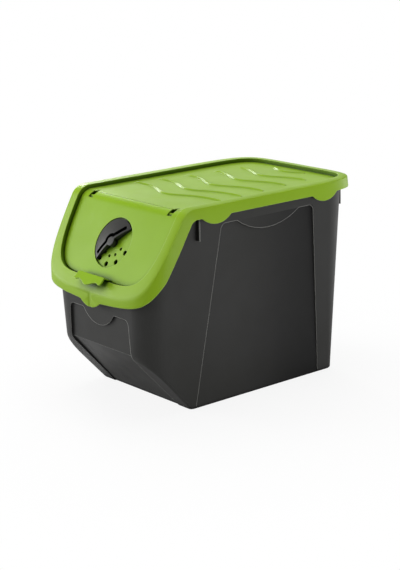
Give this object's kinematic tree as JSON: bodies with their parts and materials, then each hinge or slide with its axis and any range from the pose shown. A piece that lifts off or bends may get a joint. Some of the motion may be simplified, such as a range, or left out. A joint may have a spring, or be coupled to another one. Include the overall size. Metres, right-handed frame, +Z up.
{
  "type": "potato storage bin",
  "caption": "Tapered vegetable storage bin with a lift-off lid, a hinged hatch in its sloping front and a turning shutter over the hatch's air holes.",
  "frame": {"origin": "on the floor, under the middle of the overall width and depth with the hatch closed", "axes": "+Z up, the sloping front with the hatch faces -Y, X is the width"},
  "size_m": [0.2568, 0.4061, 0.286],
  "materials": {
    "body_plastic": "satin moulded, dark grey",
    "lid_plastic": "satin moulded, light green",
    "flap_plastic": "satin moulded, light green",
    "shutter_plastic": "satin moulded, grey"
  },
  "bodies": {
    "body": {"bin_body": "body_plastic"},
    "cover": {"lid": "lid_plastic"},
    "hatch": {"front_flap": "flap_plastic"},
    "shutter": {"vent_shutter": "shutter_plastic"}
  },
  "joints": [
    {"name": "lid_lift", "type": "slide", "parent": "body", "child": "cover", "axis": [0, 0, 1], "range_m": [0, 0.2]},
    {"name": "flap_hinge", "type": "hinge", "parent": "cover", "child": "hatch", "pos_m": [0, -0.1182, 0.2738], "axis": [-1, 0, 0], "range_deg": [0, 152]},
    {"name": "shutter_spin", "type": "hinge", "parent": "hatch", "child": "shutter", "pos_m": [0, -0.15172, 0.2271], "axis": [0, -0.8594, 0.5113], "continuous": true}
  ]
}
